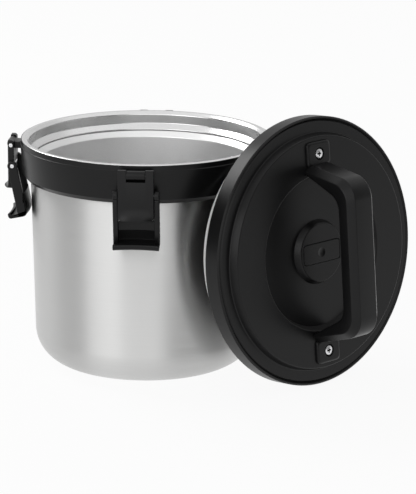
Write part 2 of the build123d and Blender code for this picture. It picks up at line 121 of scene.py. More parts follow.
class CrockSizes(bpy.types.PropertyGroup):
    """Sizes of the steel pot, with their places from the packed solids."""

    height: packed("Height of the rim above the table", "neck_ring", "z")
    rim_radius: packed("Outer radius of the rim", "neck_ring", "x")
    shell_radius: packed("Radius of the shell behind the collar", "outer_shell", "x")
    seam: packed("Height of the shell's upper edge", "outer_shell", "z")
    shell_draft: length("How much the shell narrows towards its base", 3.5)
    shell_corner: length("Radius of the shell's bottom corner", 28)
    foot_radius: packed("Inner radius of the ring that it stands on", "base_plate", "x")
    foot_lap: length("How far the shell goes in under the base disc", 11)
    foot_bend: length("Radius of the bends at the foot", 1.2)
    sheet: length("Thickness of the steel", 1)


class NeckSizes(bpy.types.PropertyGroup):
    """Sizes of the polished neck and of the bowl under it."""

    rim_width: length("From the collar's edge in to the neck's wall", 7)
    rim_inset: length("From the collar's edge in to the steel rim", 1)
    rim_bevel: length("Bevel between the rim and the neck's wall", 2.4)
    rim_fold: length("Height of the rim's turned-down edge", 2.2)
    depth: length("From the rim down to the ledge", 9.8)
    ledge: length("Width and drop of the sloping ledge", 4.1)
    step: length("Height of the step under the ledge", 1.3)
    seam: length("Gap between the neck and the bowl", 0.5)
    lip_width: length("Width of the bowl's sloping lip", 3.6)
    lip_drop: length("Height of that lip", 4.4)
    lip_bend: length("Radius of the bend under that lip", 1.5)
    bowl_draft: length("How much the bowl narrows towards its floor", 2.5)
    bowl_corner: length("Radius of the bowl's bottom corner", 22)


class CollarSizes(bpy.types.PropertyGroup):
    """Sizes of the black collar and its lugs."""

    height: length("From the rim down to the collar's foot", 31.0)
    rim_lip: length("From the rim down to the collar's top", 0.5)
    lip_seat: length("From the rim down to the seat of its lip in the collar", 2.6)
    wall: length("Thickness of the collar", 3.0)
    step: length("Depth of the step under the rim", 0.6)
    step_height: length("Height of that step", 3.6)
    draft: length("How much the face narrows towards its foot", 1.6)
    bevel_rise: length("Height of the bevel at the foot", 3.6)
    bevel_run: length("How far that bevel goes in", 3.2)
    knuckle: length("Radius of a lug's round end", 3.6)
    saddle: length("Dip of a lug's top", 2.0)
    edge: length("Thickness of the collar's edge round the steel rim", 0.95)
    grip: length("Height of the inside that touches the shell", 4.0)
    taper: length("Height at which the inside is clear of the shell", 10.0)
    root_drop: length("How far a lug's root lies under its knuckle's top", 0.2)
    lug_width: length("Across a lug", 14.6)


class LatchSizes(bpy.types.PropertyGroup):
    """Sizes of a latch."""

    lever_width: length("Across the lever", 27.5)
    lever_thickness: length("Through the lever's plate", 4.8)
    notch_width: length("Gap in the lever's top for the collar's lug", 14.8)
    notch_depth: length("Depth of that gap", 9.0)
    lip_height: length("Height of the thumb lip", 10.5)
    lip_drop: length("How far the lip's soft edge hangs below the solid's foot", 3.4)
    lip_flare: length("How far the lip stands out at its foot", 4.4)
    lip_hollow: length("Depth of the lip's hollow", 1.2)
    lip_corner: length("Radius of the lip's lower corners", 3.4)
    back_corner: length("Radius of the lever's lower corners behind the lip", 0.6)
    play: length("Gap between the lever and the hook's arms", 0.2)
    arm_thickness: length("Across one arm of the hook", 3.8)
    arm_width: length("Width of the arm seen from the side", 7.6)
    boss_radius: length("Round end of the arm over its pin", 3.8)
    hook_length: length("From the pin to the hook's foot", 41.8)
    lean: angle("How far the hanging hook leans in", 11.5)
    web_start: length("From the pin to the top of the web", 23.5)
    band_drop: length("From the top of the web to its raised band", 1.7)
    toe_reach: length("How far the toe stands out from the arms", 6.4)
    toe_radius: length("Bend of the toe, which follows the lid's edge", 101.5)
    pin_radius: length("Radius of the steel pins", 1.5)
    pin_dome: length("Height of a pin's domed ends", 0.12)


class GasketSizes(bpy.types.PropertyGroup):
    """Sizes of the lid's gasket, depths measured from the lid's flat outer ring."""

    outer: length("Radius of the gasket's lip", 90.2)
    inner: length("Radius of the gasket's bore", 84.2)
    depth: length("From the lid's outer ring to the plug's end", 32.5)
    height: length("Height of the gasket", 5.4)


class HandleSizes(bpy.types.PropertyGroup):
    """Sizes of the bail handle, heights measured from the lid's flat outer ring."""

    foot: length("Height of the lid's raised disc, which the legs stand on", 6.5)
    top: length("Height of the grip's outer face", 53.6)
    thickness: length("Through the grip", 14.0)
    width: length("Across the grip", 28.0)
    bevel: length("Bevel along the grip's outer edges", 5.2)
    leg_out: length("From the lid's middle to a leg's outer foot", 70.5)
    leg_thickness: length("Through a leg at its foot", 8.0)
    shoulder: length("From the lid's middle to the grip's outer corner", 60.0)
    shoulder_thickness: length("From that corner to the inner one", 14.0)
    outer_bend: length("Radius of the grip's outer corners", 18.0)
    inner_bend: length("Radius of its inner corners", 14.0)
    screw_reach: length("From the lid's middle to a screw", 77.8)
    pad_width: length("Across a pad", 24.6)
    pad_length: length("Along a pad", 19.0)
    pad_top: length("Height of a pad", 8.8)
    screw_sink: length("From a pad's top down to the screw's seat", 2.2)
    screw_head: length("Height of a screw's head", 2.4)


class VentSizes(bpy.types.PropertyGroup):
    """Sizes of the vent, heights measured from the lid's flat outer ring."""

    floor: length("Height of the dish that the disc stands on", 1.2)
    top: length("Height of the disc and the button", 6.0)
    radius: length("Radius of the disc at its foot", 25.5)
    slope: length("How much the disc narrows towards its top", 2.6)
    button_length: length("Along the button", 39.0)
    button_width: length("Across the button", 15.6)
    button_thickness: length("Through the button", 2.2)
    gap: length("Between the button and the disc", 0.4)
    dimple: length("Radius of the finger dimple", 3.8)
    dimple_sink: length("Depth of the finger dimple", 0.9)
    well_floor: length("Height of the well's floor, under the spring", -3.0)
    cup_wall: length("Thickness of the well's wall and floor", 1.5)
    wire: length("Radius of the spring's wire", 0.5)
    coil_radius: length("Radius of the spring", 4.6)
    coil_play: length("Gap at each end of the spring", 0.1)
    coil_turns: IntProperty(description="Turns of the spring", default=3)
    coil_keep: FloatProperty(description="Share of its length when pressed", default=0.5)


class CrockColours(bpy.types.PropertyGroup):
    """Base colours of the finishes."""

    steel: colour("Outer shell", (0.62, 0.62, 0.615))
    satin: colour("Liner and base", (0.84, 0.84, 0.84))
    bright: colour("Pins and screws", (0.72, 0.72, 0.73))
    neck: colour("Neck and rim", (0.7, 0.7, 0.7))
    plastic: colour("Collar, latches and lid", (0.006, 0.006, 0.0063))
    silicone: colour("Gasket and vent seal", (0.72, 0.72, 0.71))


class CrockStage(bpy.types.PropertyGroup):
    """Place and lens of the camera."""

    distance: length("From the crock's middle to the camera", 2243.6)
    aim: length("Height that the camera's tilt is measured at", 91.2)
    elevation: angle("Camera's height above the horizon", 15.07)
    bearing: angle("Camera's turn from the front latch towards the right", 4.4)
    yaw: angle("How far the camera looks to the right of the crock's axis", 1.256)
    focal: FloatProperty(description="In pixels of the picture", default=2800.0)


def sizes():
    """The scene's stored sizes of the pot."""
    return bpy.context.scene.crock_sizes


def mm(*values):
    """Values in millimetres, as metres."""
    return np.array(values) * MM


def arc(turn):
    """Points of a unit circle at these turns."""
    return np.stack([np.cos(turn), np.sin(turn)], -1)


def unit(vectors):
    """Vectors divided by their lengths."""
    return vectors / np.linalg.norm(vectors, axis=-1, keepdims=True)


def rounded(corners, radii, steps=6, closed=True):
    """Outline whose corners are arcs: an arc leaves its corner's sides at radius / tan(half the angle)
    and its points turn evenly about a centre on the bisector. The corners are (..., n, 2)."""
    corners = np.asarray(corners, float)
    radii = np.broadcast_to(np.asarray(radii, float), corners.shape[:-1])[..., None]
    back = unit(np.roll(corners, 1, -2) - corners)
    ahead = unit(np.roll(corners, -1, -2) - corners)
    half = np.arccos(np.clip((back * ahead).sum(-1, keepdims=True), -1, 1)) / 2
    reach = radii / np.tan(half)
    centre = corners + unit(back + ahead) * radii / np.sin(half)
    start = (corners + back * reach - centre)[..., None, :]
    end = (corners + ahead * reach - centre)[..., None, :]
    turn = (pi - 2 * half)[..., None, :]
    share = np.linspace(0, 1, steps)[:, None]
    swing = np.sin((1 - share) * turn) * start + np.sin(share * turn) * end
    arcs = centre[..., None, :] + swing / np.sin(turn)
    if not closed:
        inner = arcs[..., 1:-1, :, :].reshape(*corners.shape[:-2], -1, 2)
        return np.concatenate([corners[..., :1, :], inner, corners[..., -1:, :]], -2)
    return arcs.reshape(*corners.shape[:-2], -1, 2)


def sheet_outline(path, thickness):
    """Closed outline of a bent sheet: out along the path, and back moved sideways by the thickness."""
    along = unit(np.gradient(path, axis=0))
    aside = np.stack([-along[:, 1], along[:, 0]], -1)
    return np.concatenate([path, (path + aside * thickness)[::-1]])


def turned(outline, base, count=WIDE_RING):
    """Surface of revolution of an outline: origin + radius * (cos t * x + sin t * y) + height * z."""
    turn = np.linspace(0, 2 * pi, count, endpoint=False)
    ring = np.cos(turn)[:, None] * base["x"] + np.sin(turn)[:, None] * base["y"]
    return base["origin"] + outline[:, :1, None] * ring + outline[:, 1:, None] * base["z"]


def carried(outlines, across, base):
    """Outlines (columns, n, 2) set side by side: origin + u * x + v * y + across * z."""
    u, v = outlines[..., :1], outlines[..., 1:]
    return base["origin"] + u * base["x"] + v * base["y"] + np.asarray(across)[:, None, None] * base["z"]


def inward(outlines):
    """Unit normals of closed anticlockwise outlines, pointing into them."""
    along = unit(np.roll(outlines, -1, -2) - np.roll(outlines, 1, -2))
    return np.stack([-along[..., 1], along[..., 0]], -1)


def slab(outline, low, high):
    """One outline carried from low to high with round rims: edge * (1 - sin t) inside it at
    edge * (1 - cos t) from the end."""
    turn = np.linspace(0, pi / 2, RIM_STEPS)
    reach = EDGE * (1 - np.cos(turn))
    inset = EDGE * (1 - np.sin(turn))
    across = np.concatenate([low + reach, (high - reach)[::-1]])
    depth = np.concatenate([inset, inset[::-1]])
    return outline + inward(outline) * depth[:, None, None], across


def skin(name, grid, close_rows=True, close_columns=True, caps=False, depth=None):
    """Object with a quad between each four neighbours of the grid, UV along rows and columns, and closed
    poles. A depth for each point is kept as an attribute."""
    rows, columns = grid.shape[:2]
    index = np.arange(rows * columns).reshape(rows, columns)
    down, right = np.arange(rows + close_rows), np.arange(columns + close_columns)
    index = index[down % rows][:, right % columns]
    quads = np.stack([index[:-1, :-1], index[1:, :-1], index[1:, 1:], index[:-1, 1:]], -1).reshape(-1, 4)
    v, u = np.meshgrid(down / rows, right / columns, indexing="ij")
    places = np.stack([u, v], -1)
    uv = np.stack([places[:-1, :-1], places[1:, :-1], places[1:, 1:], places[:-1, 1:]], -2).reshape(-1, 2)
    ends = [index[0, :columns][::-1].tolist(), index[-1, :columns].tolist()] if caps else []
    mesh = bpy.data.meshes.new(name)
    mesh.from_pydata(grid.reshape(-1, 3).tolist(), [], quads.tolist() + ends)
    uv = np.concatenate([uv, np.zeros((columns * len(ends), 2))])
    mesh.uv_layers.new(name="Along").data.foreach_set("uv", uv.astype(np.float32).ravel())
    if depth is not None:
        values = mesh.attributes.new("depth", "FLOAT", "POINT").data
        values.foreach_set("value", depth.astype(np.float32).ravel())
    shell = bmesh.new()
    shell.from_mesh(mesh)
    bmesh.ops.remove_doubles(shell, verts=shell.verts, dist=MERGE)
    bmesh.ops.recalc_face_normals(shell, faces=shell.faces)
    shell.to_mesh(mesh)
    shell.free()
    mesh.shade_smooth()
    mesh.set_sharp_from_angle(angle=SMOOTH)
    piece = bpy.data.objects.new(name, mesh)
    bpy.context.scene.collection.objects.link(piece)
    return piece


def dress(piece, body, finish, node):
    """Gives a new piece its finish, its body and the solid that it stands for."""
    piece.data.materials.append(finish_named(finish))
    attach(piece, body)
    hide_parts(node)


def mould(name, grid, body, node, caps=True):
    """Makes a black moulded piece from a grid whose rows stay open."""
    dress(skin(name, grid, close_rows=False, caps=caps), body, "black_plastic", node)


def coat(finish, *nodes):
    """Gives packed solids a finish."""
    for node in nodes:
        NODES[node].data.materials.clear()
        NODES[node].data.materials.append(finish_named(finish))


def upright():
    """The crock's own axes."""
    axes = np.eye(3)
    return {"origin": np.zeros(3), "x": axes[0], "y": axes[1], "z": axes[2]}


def latch_axes(side):
    """Axes of one latch: x out from the crock, y up and z along the lever's pin."""
    pin = np.array(JOINTS[f"lever_{side}_swing"]["axis"], float)
    up = np.array([0.0, 0.0, 1.0])
    return {"origin": np.zeros(3), "x": np.cross(up, pin), "y": up, "z": pin}


def lid_axes():
    """Axes of the leaning lid: z out of its face, x level. The handle's gap has the lid's middle."""
    out = -np.array(JOINTS["vent_press"]["axis"], float)
    level = unit(np.cross([0.0, 0.0, 1.0], out))
    boxes = {box["name"]: np.array(box["box_m"]) for box in frame["record"]["physics"]["openings"]}
    handle = bpy.context.scene.crock_handle
    gap = (handle.foot + handle.top - handle.thickness) / 2
    origin = boxes["handle_grip_middle"].mean(0) - out * gap
    return {"origin": origin, "x": level, "y": np.cross(out, level), "z": out}


def fill(made, **values):
    """Sets inputs of a shader node. An underscore in an input's name stands for a space."""
    for name, value in values.items():
        made.inputs[name.replace("_", " ")].default_value = value
    return made


def node(tree, kind, **values):
    """New shader node with some inputs set."""
    return fill(tree.nodes.new(f"ShaderNode{kind}"), **values)


def new_finish(name, base, roughness, metallic=0.0):
    """Material with a Principled shader, its node tree and its shader."""
    material = bpy.data.materials.new(name)
    material.use_nodes = True
    shader = material.node_tree.nodes["Principled BSDF"]
    fill(shader, Base_Color=(*base, 1), Roughness=roughness, Metallic=metallic)
    return material, material.node_tree, shader


def grain(tree, scale, stretch=(1, 1, 1), detail=2.0):
    """Noise on the piece's own coordinates, stretched along chosen axes."""
    place = node(tree, "TexCoord")
    mapping = node(tree, "Mapping", Scale=stretch)
    noise = node(tree, "TexNoise", Scale=scale, Detail=detail)
    tree.links.new(place.outputs["Object"], mapping.inputs["Vector"])
    tree.links.new(mapping.outputs["Vector"], noise.inputs["Vector"])
    return noise.outputs["Fac"]


def spread(tree, shader, value, low, high):
    """Maps a noise from its usual range onto a range of roughness."""
    ramp = node(tree, "MapRange", From_Min=NOISE[0], From_Max=NOISE[1], To_Min=low, To_Max=high)
    tree.links.new(value, ramp.inputs["Value"])
    tree.links.new(ramp.outputs["Result"], shader.inputs["Roughness"])


def tint(tree, shader, value, base, dark, light):
    """Maps a noise from its usual range onto the base colour times two factors."""
    ramp = node(tree, "ValToRGB")
    for stop, position, factor in zip(ramp.color_ramp.elements, NOISE, (dark, light)):
        stop.position = position
        stop.color = (*(channel * factor for channel in base), 1)
    tree.links.new(value, ramp.inputs["Fac"])
    tree.links.new(ramp.outputs["Color"], shader.inputs["Base Color"])


def relief(tree, shader, value, strength, depth):
    """Bump from a noise."""
    bump = node(tree, "Bump", Strength=strength, Distance=depth)
    tree.links.new(value, bump.inputs["Height"])
    tree.links.new(bump.outputs["Normal"], shader.inputs["Normal"])


def brushed_steel(name, base, roughness, streak):
    """Steel brushed round the axis: level streaks in colour and gloss, gloss drawn out upright."""
    material, tree, shader = new_finish(name, base, roughness, metallic=1.0)
    streaks = grain(tree, 1.0, stretch=(18, 18, 2600))
    tint(tree, shader, streaks, base, dark=1 - streak, light=1 + streak)
    spread(tree, shader, streaks, low=roughness * 0.9, high=roughness * 1.12)
    relief(tree, shader, streaks, strength=0.015, depth=0.02 * MM)
    fill(shader, Anisotropic=0.9, Anisotropic_Rotation=0.25)
    tangent = node(tree, "Tangent")
    tangent.direction_type = "UV_MAP"
    tangent.uv_map = "Along"
    tree.links.new(tangent.outputs["Tangent"], shader.inputs["Tangent"])
    return material


def satin_steel(name, base, roughness):
    """Blasted steel with a fine even grain."""
    material, tree, shader = new_finish(name, base, roughness, metallic=1.0)
    speck = grain(tree, 1400)
    tint(tree, shader, speck, base, dark=0.97, light=1.03)
    spread(tree, shader, speck, low=roughness * 0.92, high=roughness * 1.08)
    relief(tree, shader, speck, strength=0.04, depth=0.02 * MM)
    return material


def moulded_plastic(name, base, roughness):
    """Moulded plastic: fine spark texture, slow changes of gloss and a soft sheen."""
    material, tree, shader = new_finish(name, base, roughness)
    cloud = grain(tree, 28)
    tint(tree, shader, cloud, base, dark=0.9, light=1.1)
    spread(tree, shader, cloud, low=roughness * 0.93, high=roughness * 1.07)
    relief(tree, shader, grain(tree, 2600), strength=0.06, depth=0.03 * MM)
    fill(shader, Specular_IOR_Level=0.22)
    return material


def silicone_rubber(name, base):
    """Pale silicone: matt, with a faint bloom."""
    material, tree, shader = new_finish(name, base, 0.55)
    bloom = grain(tree, 90, detail=4.0)
    tint(tree, shader, bloom, base, dark=0.95, light=1.03)
    spread(tree, shader, bloom, low=0.5, high=0.62)
    fill(shader, Subsurface_Weight=0.05)
    return material


def screw_steel(name, base):
    """Bright steel that is dark down in the recess, by the piece's depth attribute."""
    material, tree, shader = new_finish(name, base, 0.22, metallic=1.0)
    depth = node(tree, "Attribute")
    depth.attribute_name = "depth"
    tint(tree, shader, depth.outputs["Fac"], base, dark=1, light=0.03)
    spread(tree, shader, grain(tree, 1800), low=0.19, high=0.26)
    return material


def plain_grain(name, base, roughness, metallic=0.0):
    """Hidden pieces: a base colour with a fine mottle."""
    material, tree, shader = new_finish(name, base, roughness, metallic)
    mottle = grain(tree, 300, detail=3.0)
    tint(tree, shader, mottle, base, dark=0.9, light=1.08)
    relief(tree, shader, mottle, strength=0.08, depth=0.05 * MM)
    return material


def finish_named(kind):
    """A finish of this object, made when it is first asked for."""
    name = f"crock_{kind}"
    if name in bpy.data.materials:
        return bpy.data.materials[name]
    colours = bpy.context.scene.crock_colours
    makers = {
        "brushed_steel": lambda: brushed_steel(name, colours.steel, roughness=0.42, streak=0.02),
        "neck_steel": lambda: satin_steel(name, colours.neck, roughness=0.24),
        "satin_steel": lambda: satin_steel(name, colours.satin, roughness=0.42),
        "bright_steel": lambda: satin_steel(name, colours.bright, roughness=0.16),
        "screw_steel": lambda: screw_steel(name, colours.bright),
        "black_plastic": lambda: moulded_plastic(name, colours.plastic, roughness=0.33),
        "silicone": lambda: silicone_rubber(name, colours.silicone),
        "foam": lambda: plain_grain(name, (0.8, 0.77, 0.68), roughness=0.9),
        "seal_resin": lambda: plain_grain(name, (0.2, 0.2, 0.2), roughness=0.6),
        "getter_metal": lambda: plain_grain(name, (0.4, 0.4, 0.41), roughness=0.5, metallic=1.0),
    }
    return makers[kind]()


class CROCK_OT_pot(bpy.types.Operator):
    """Outer shell, liner, neck ring and the pieces under the base"""

    bl_idname = "crock.pot"
    bl_label = "Steel pot"

    def execute(self, context):
        size, neck = sizes(), context.scene.crock_neck
        for name, path, sheet, count, finish, node in (
            ("shell", shell_path(size), size.sheet, WIDE_RING, "brushed_steel", "outer_shell"),
            ("liner", bowl_path(size, neck), -size.sheet, LINER_RING, "satin_steel", "inner_liner"),
            ("neck", mouth_path(size, neck), -size.sheet, WIDE_RING, "neck_steel", "neck_ring"),
        ):
            piece = skin(name, turned(sheet_outline(path, sheet), upright(), count))
            dress(piece, "crock", finish, node)
        coat("satin_steel", "jacket_ring", "base_plate")
        coat("seal_resin", "vacuum_seal")
        coat("getter_metal", "getter")
        return {"FINISHED"}


def shell_path(size):
    """Half section of the shell's outside: from under the base round the foot and up the drafted wall."""
    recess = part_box("base_plate")[0].z + size.sheet
    corners = [
        (size.foot_radius - size.foot_lap, recess),
        (size.foot_radius, recess),
        (size.foot_radius, 0),
        (size.shell_radius - size.shell_draft, 0),
        (size.shell_radius, size.seam),
    ]
    return rounded(corners, [0, size.foot_bend, size.foot_bend, size.shell_corner, 0], 24, closed=False)


def bowl_path(size, neck):
    """Half section of the liner's inside: floor, bottom corner, drafted wall and a lip that slopes out."""
    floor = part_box("inner_liner")[0].z + size.sheet
    ledge = size.rim_radius - neck.rim_width - neck.ledge
    bore = ledge - neck.lip_width
    top = size.height - neck.depth - neck.ledge - neck.step
    corners = [(0, floor), (bore - neck.bowl_draft, floor), (bore, top - neck.lip_drop), (ledge, top)]
    return rounded(corners, [0, neck.bowl_corner, neck.lip_bend, 0], 24, closed=False)


def mouth_path(size, neck):
    """Half section of the neck's inside: a step, a sloping ledge, the wall, a bevel and the folded rim."""
    wall = size.rim_radius - neck.rim_width
    ledge = wall - neck.ledge
    high = size.height - neck.depth
    low = high - neck.ledge
    edge = size.rim_radius - neck.rim_inset
    corners = [
        (ledge, low - neck.step + neck.seam),
        (ledge, low),
        (wall, high),
        (wall, size.height - neck.rim_bevel),
        (wall + neck.rim_bevel, size.height),
        (edge, size.height),
        (edge, size.height - neck.rim_fold),
    ]
    return rounded(corners, mm(0, 1.1, 1.1, 1.4, 1.4, 0.9, 0), 10, closed=False)


class CROCK_OT_collar(bpy.types.Operator):
    """Black collar with its lugs"""

    bl_idname = "crock.collar"
    bl_label = "Collar"

    def execute(self, context):
        size = context.scene.crock_collar
        ring = skin("collar_ring", turned(collar_outline(size), upright()))
        dress(ring, "crock", "black_plastic", "collar")
        half = size.lug_width / 2
        for side in SIDES:
            lug = slab(lug_outline(size, side), -half, half)
            mould(f"lug_{side}", carried(*lug, latch_axes(side)), "crock", "collar")
        return {"FINISHED"}


def collar_outline(size):
    """Section of the collar: a step under the rim, a drafted face and a bevel at its foot."""
    rim, shell = sizes().rim_radius, sizes().shell_radius + FIT
    top, seat, foot = (sizes().height - drop for drop in (size.rim_lip, size.lip_seat, size.height))
    inside, edge, bevel = rim - size.wall, rim - size.edge, rim - size.draft
    step = top - size.step_height
    corners = [
        (inside, seat),
        (edge, seat),
        (edge, top),
        (rim - size.step, top),
        (rim - size.step, step),
        (rim, step - size.step),
        (bevel, foot + size.bevel_rise),
        (bevel - size.bevel_run, foot),
        (shell, foot),
        (shell, foot + size.grip),
        (inside, foot + size.taper),
    ]
    return rounded(corners, mm(0.1, 0.1, 0.1, 0.15, 0.2, 0.3, 0.5, 0.4, 0.1, 0.1, 0.1))


def lug_outline(size, side):
    """Lug from the side: a round knuckle on the lever's pin, then a saddle back to the collar, which
    dips by 4 * dip * f * (1 - f) at the share f of its way."""
    pin = pin_place(side, "lever")
    centre = np.array([np.linalg.norm(pin[:2]), pin[2]])
    knuckle = centre + size.knuckle * arc(np.linspace(-pi / 2, pi / 2, 25))
    reach = sizes().rim_radius - size.draft - size.step
    root = np.array([reach, centre[1] + size.knuckle - size.root_drop])
    share = np.linspace(0, 1, 14)[1:, None]
    saddle = knuckle[-1] + (root - knuckle[-1]) * share
    saddle[:, 1:] -= 4 * size.saddle * share * (1 - share)
    return np.concatenate([knuckle, saddle, [(reach, centre[1] - size.knuckle)]])


class CROCK_OT_latches(bpy.types.Operator):
    """Levers, hooks and pins of the four latches"""

    bl_idname = "crock.latches"
    bl_label = "Latches"

    def execute(self, context):
        size = context.scene.crock_latch
        arm = arm_outline(size)
        reach = size.lever_width / 2 + size.play
        for side in SIDES:
            lever, hook = f"lever_{side}", f"hook_{side}"
            axes, leaning = latch_axes(side), hook_axes(side, size.lean)
            mould(lever, carried(*lever_outlines(size, side), axes), lever, f"latch_{lever}")
            mould(f"hook_channel_{side}", carried(*channel_outlines(size), leaning), hook, f"latch_{hook}")
            for name, low in (("arm_a", reach), ("arm_b", -reach - size.arm_thickness)):
                plate = slab(arm, low, low + size.arm_thickness)
                mould(f"hook_{name}_{side}", carried(*plate, leaning), hook, f"latch_{hook}")
            for name, half, piece, body, node in (
                (f"lever_pin_{side}", size.lever_width / 2, "lever", "crock", "lever_pins"),
                (f"pin_{side}", reach + size.arm_thickness, "hook", lever, f"hook_pin_{side}"),
            ):
                grid = turned(pin_outline(size, half), pin_axes(side, piece), PIN_RING)
                dress(skin(name, grid, close_rows=False), body, "bright_steel", node)
        return {"FINISHED"}


def lever_outlines(size, side):
    """Lever's side outlines across its width: a plate with a crown and a notch at its top, and a lip below,
    face + (flare * f - 4 * hollow * f * (1 - f)) * (1 - w * w), with f from 0 at the lip's top to 1 at its
    foot and w from -1 to 1 across it."""
    low, high = (np.array(corner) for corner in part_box(f"latch_lever_{side}"))
    top, foot = high[2], low[2] - size.lip_drop
    pin = np.linalg.norm(pin_place(side, "lever")[:2])
    back, face = pin - size.lever_thickness / 2, pin + size.lever_thickness / 2
    half, notch = size.lever_width / 2, size.notch_width / 2
    turn = np.linspace(0, pi / 2, 12)
    rim = np.linspace(0, pi / 2, RIM_STEPS)[1:]
    plate = np.linspace(notch, half - size.lip_corner, 9)[1:-1]
    corner = half - EDGE - (size.lip_corner - EDGE) * (1 - np.sin(turn))
    right = np.concatenate([[notch, notch], plate, corner, half - EDGE * (1 - np.sin(rim))])
    right_top = np.concatenate([[top - size.notch_depth], np.full(len(right) - 1, top)])
    right_inset = np.concatenate([np.zeros(2 + len(plate) + len(turn)), EDGE * (1 - np.cos(rim))])
    middle = np.linspace(-notch, notch, 17)[1:-1]
    across = np.concatenate([-right[::-1], middle, right])
    tops = np.concatenate([right_top[::-1], np.full(len(middle), top - size.notch_depth), right_top])
    depth = np.concatenate([right_inset[::-1], 0 * middle, right_inset])

    def foot_line(radius):
        over = np.clip(np.abs(across) - (half - radius), 0, radius)
        return foot + radius - np.sqrt(radius**2 - over**2)

    def lip(height, ends):
        share = np.clip((foot + size.lip_height - height) / size.lip_height, 0, 1)
        scoop = size.lip_flare * share - 4 * size.lip_hollow * share * (1 - share)
        return face + scoop * (1 - ends**2)

    feet, back_feet = foot_line(size.lip_corner), foot_line(size.back_corner)
    plan = ((face, tops), (back, tops), (back, back_feet), (lip(feet, across / half), feet))
    corners = np.stack([np.stack([out + 0 * across, height], -1) for out, height in plan], 1)
    start = feet[:, None] + EDGE
    rise = start + np.linspace(0, 1, 14) * (foot + size.lip_height - start)
    front = np.stack([lip(rise, across[:, None] / half), rise], -1)
    outlines = np.concatenate([rounded(corners, mm(0.7, 2.2, 0.5, 0.7), 5), front], 1)
    return outlines + inward(outlines) * depth[:, None, None], across


def arm_outline(size):
    """Hook arm from the side: a round boss on the pin, a groove, then a bar with a cut lower corner."""
    half, foot = size.arm_width / 2, -size.hook_length
    boss = size.boss_radius * arc(np.linspace(-pi / 4, pi, 28))
    groove, slope = mm(0.3, 1.1)
    shoulder = boss[0, 1] - groove
    corners = [(-half, shoulder), (-half, foot), (half, foot), (half, shoulder - slope)]
    return np.concatenate([boss, rounded(corners, mm(0.3, 3.6, 0.6, 0.5)), [(boss[0, 0], shoulder)]])


def channel_outlines(size):
    """Web, floor and toe of a hook as one outline, moved out by R - sqrt(R * R - w * w) at w across."""
    setback, wall, band_wall, top_wall = mm(1.6, 0.9, 2.2, 0.5)
    toe_height, toe_wall, floor = mm(4.8, 2.6, 2.8)
    band_height, band_foot = mm(5.4, 6.2)
    foot, top = -size.hook_length, -size.web_start
    web = -size.arm_width / 2 - setback
    tip = size.arm_width / 2 + size.toe_reach
    band = top - size.band_drop
    corners = [
        (web, foot),
        (tip, foot),
        (tip, foot + toe_height),
        (tip - toe_wall, foot + toe_height),
        (tip - toe_wall, foot + floor),
        (web + wall, foot + floor),
        (web + wall, band - band_foot),
        (web + band_wall, band - band_height),
        (web + top_wall, band),
        (web + top_wall, top),
        (web, top),
    ]
    outline = rounded(corners, mm(4.4, 2.2, 1.2, 0.6, 0.6, 0.3, 0.3, 0.3, 0.1, 0.1, 0.1), 5)
    reach = size.lever_width / 2 + size.play + size.arm_thickness
    outlines, ends = slab(outline, -reach, reach)
    low, high = ends[:RIM_STEPS], ends[RIM_STEPS:]
    middle = np.linspace(low[-1], high[0], 17)[1:-1]
    across = np.concatenate([low, middle, high])
    between = np.broadcast_to(outline, (len(middle), *outline.shape))
    outlines = np.concatenate([outlines[:RIM_STEPS], between, outlines[RIM_STEPS:]])
    bow = size.toe_radius - np.sqrt(size.toe_radius**2 - across**2)
    return outlines + np.stack([bow, np.zeros_like(bow)], -1)[:, None], across


def pin_outline(size, half):
    """Half section of a pin with slightly domed ends."""
    dome = np.linspace(0, pi / 2, 6)
    end = np.stack([size.pin_radius * np.sin(dome), half + size.pin_dome * np.cos(dome)], -1)
    return np.concatenate([end * (1, -1), end[::-1]])


def pin_place(side, piece):
    """Middle of the pin that a latch's lever or hook swings on."""
    return np.array(JOINTS[f"{piece}_{side}_swing"]["pos_m"], float)


def pin_axes(side, piece):
    """Axes of a latch, moved to one of its pins."""
    return {**latch_axes(side), "origin": pin_place(side, piece)}


def hook_axes(side, lean):
    """Axes of a hook: its pin as origin, x out from the crock, y up along the arms and z along the pin."""
    axes = pin_axes(side, "hook")
    out = axes["x"] * cos(lean) - axes["y"] * sin(lean)
    return {**axes, "x": out, "y": axes["x"] * sin(lean) + axes["y"] * cos(lean)}


class CROCK_OT_lid(bpy.types.Operator):
    """Lid cover, plug, foam and gasket"""

    bl_idname = "crock.lid"
    bl_label = "Lid"

    def execute(self, context):
        coat("black_plastic", "lid_cover", "lid_base")
        coat("foam", "lid_insulation")
        gasket = skin("gasket", turned(gasket_outline(context.scene.crock_gasket), lid_axes()))
        dress(gasket, "lid", "silicone", "lid_gasket")
        return {"FINISHED"}


def gasket_outline(size):
    """Section of the gasket on the plug's foot: a soft lip that spreads towards the plug's end."""
    bevel, lip, flare = mm(0.6, 1.4, 2.4)
    end, top = -size.depth, size.height - size.depth
    corners = [
        (size.inner, end),
        (size.outer - bevel, end),
        (size.outer, end + lip),
        (size.outer - flare, top),
        (size.inner, top),
    ]
    return rounded(corners, mm(0.2, 0.6, 0.9, 0.8, 0.2))


class CROCK_OT_handle(bpy.types.Operator):
    """Bail handle with its pads and screws"""

    bl_idname = "crock.handle"
    bl_label = "Handle"

    def execute(self, context):
        size = context.scene.crock_handle
        mould("handle_bail", bail_grid(size), "lid", "handle")
        for name, reach in (("upper", size.screw_reach), ("lower", -size.screw_reach)):
            mould(f"handle_pad_{name}", pad_grid(size, reach), "lid", "handle", caps=False)
            grid, recess = screw_grid(size, reach)
            screw = skin(f"screw_{name}", grid, close_rows=False, depth=recess)
            dress(screw, "lid", "screw_steel", "handle_screws")
        return {"FINISHED"}


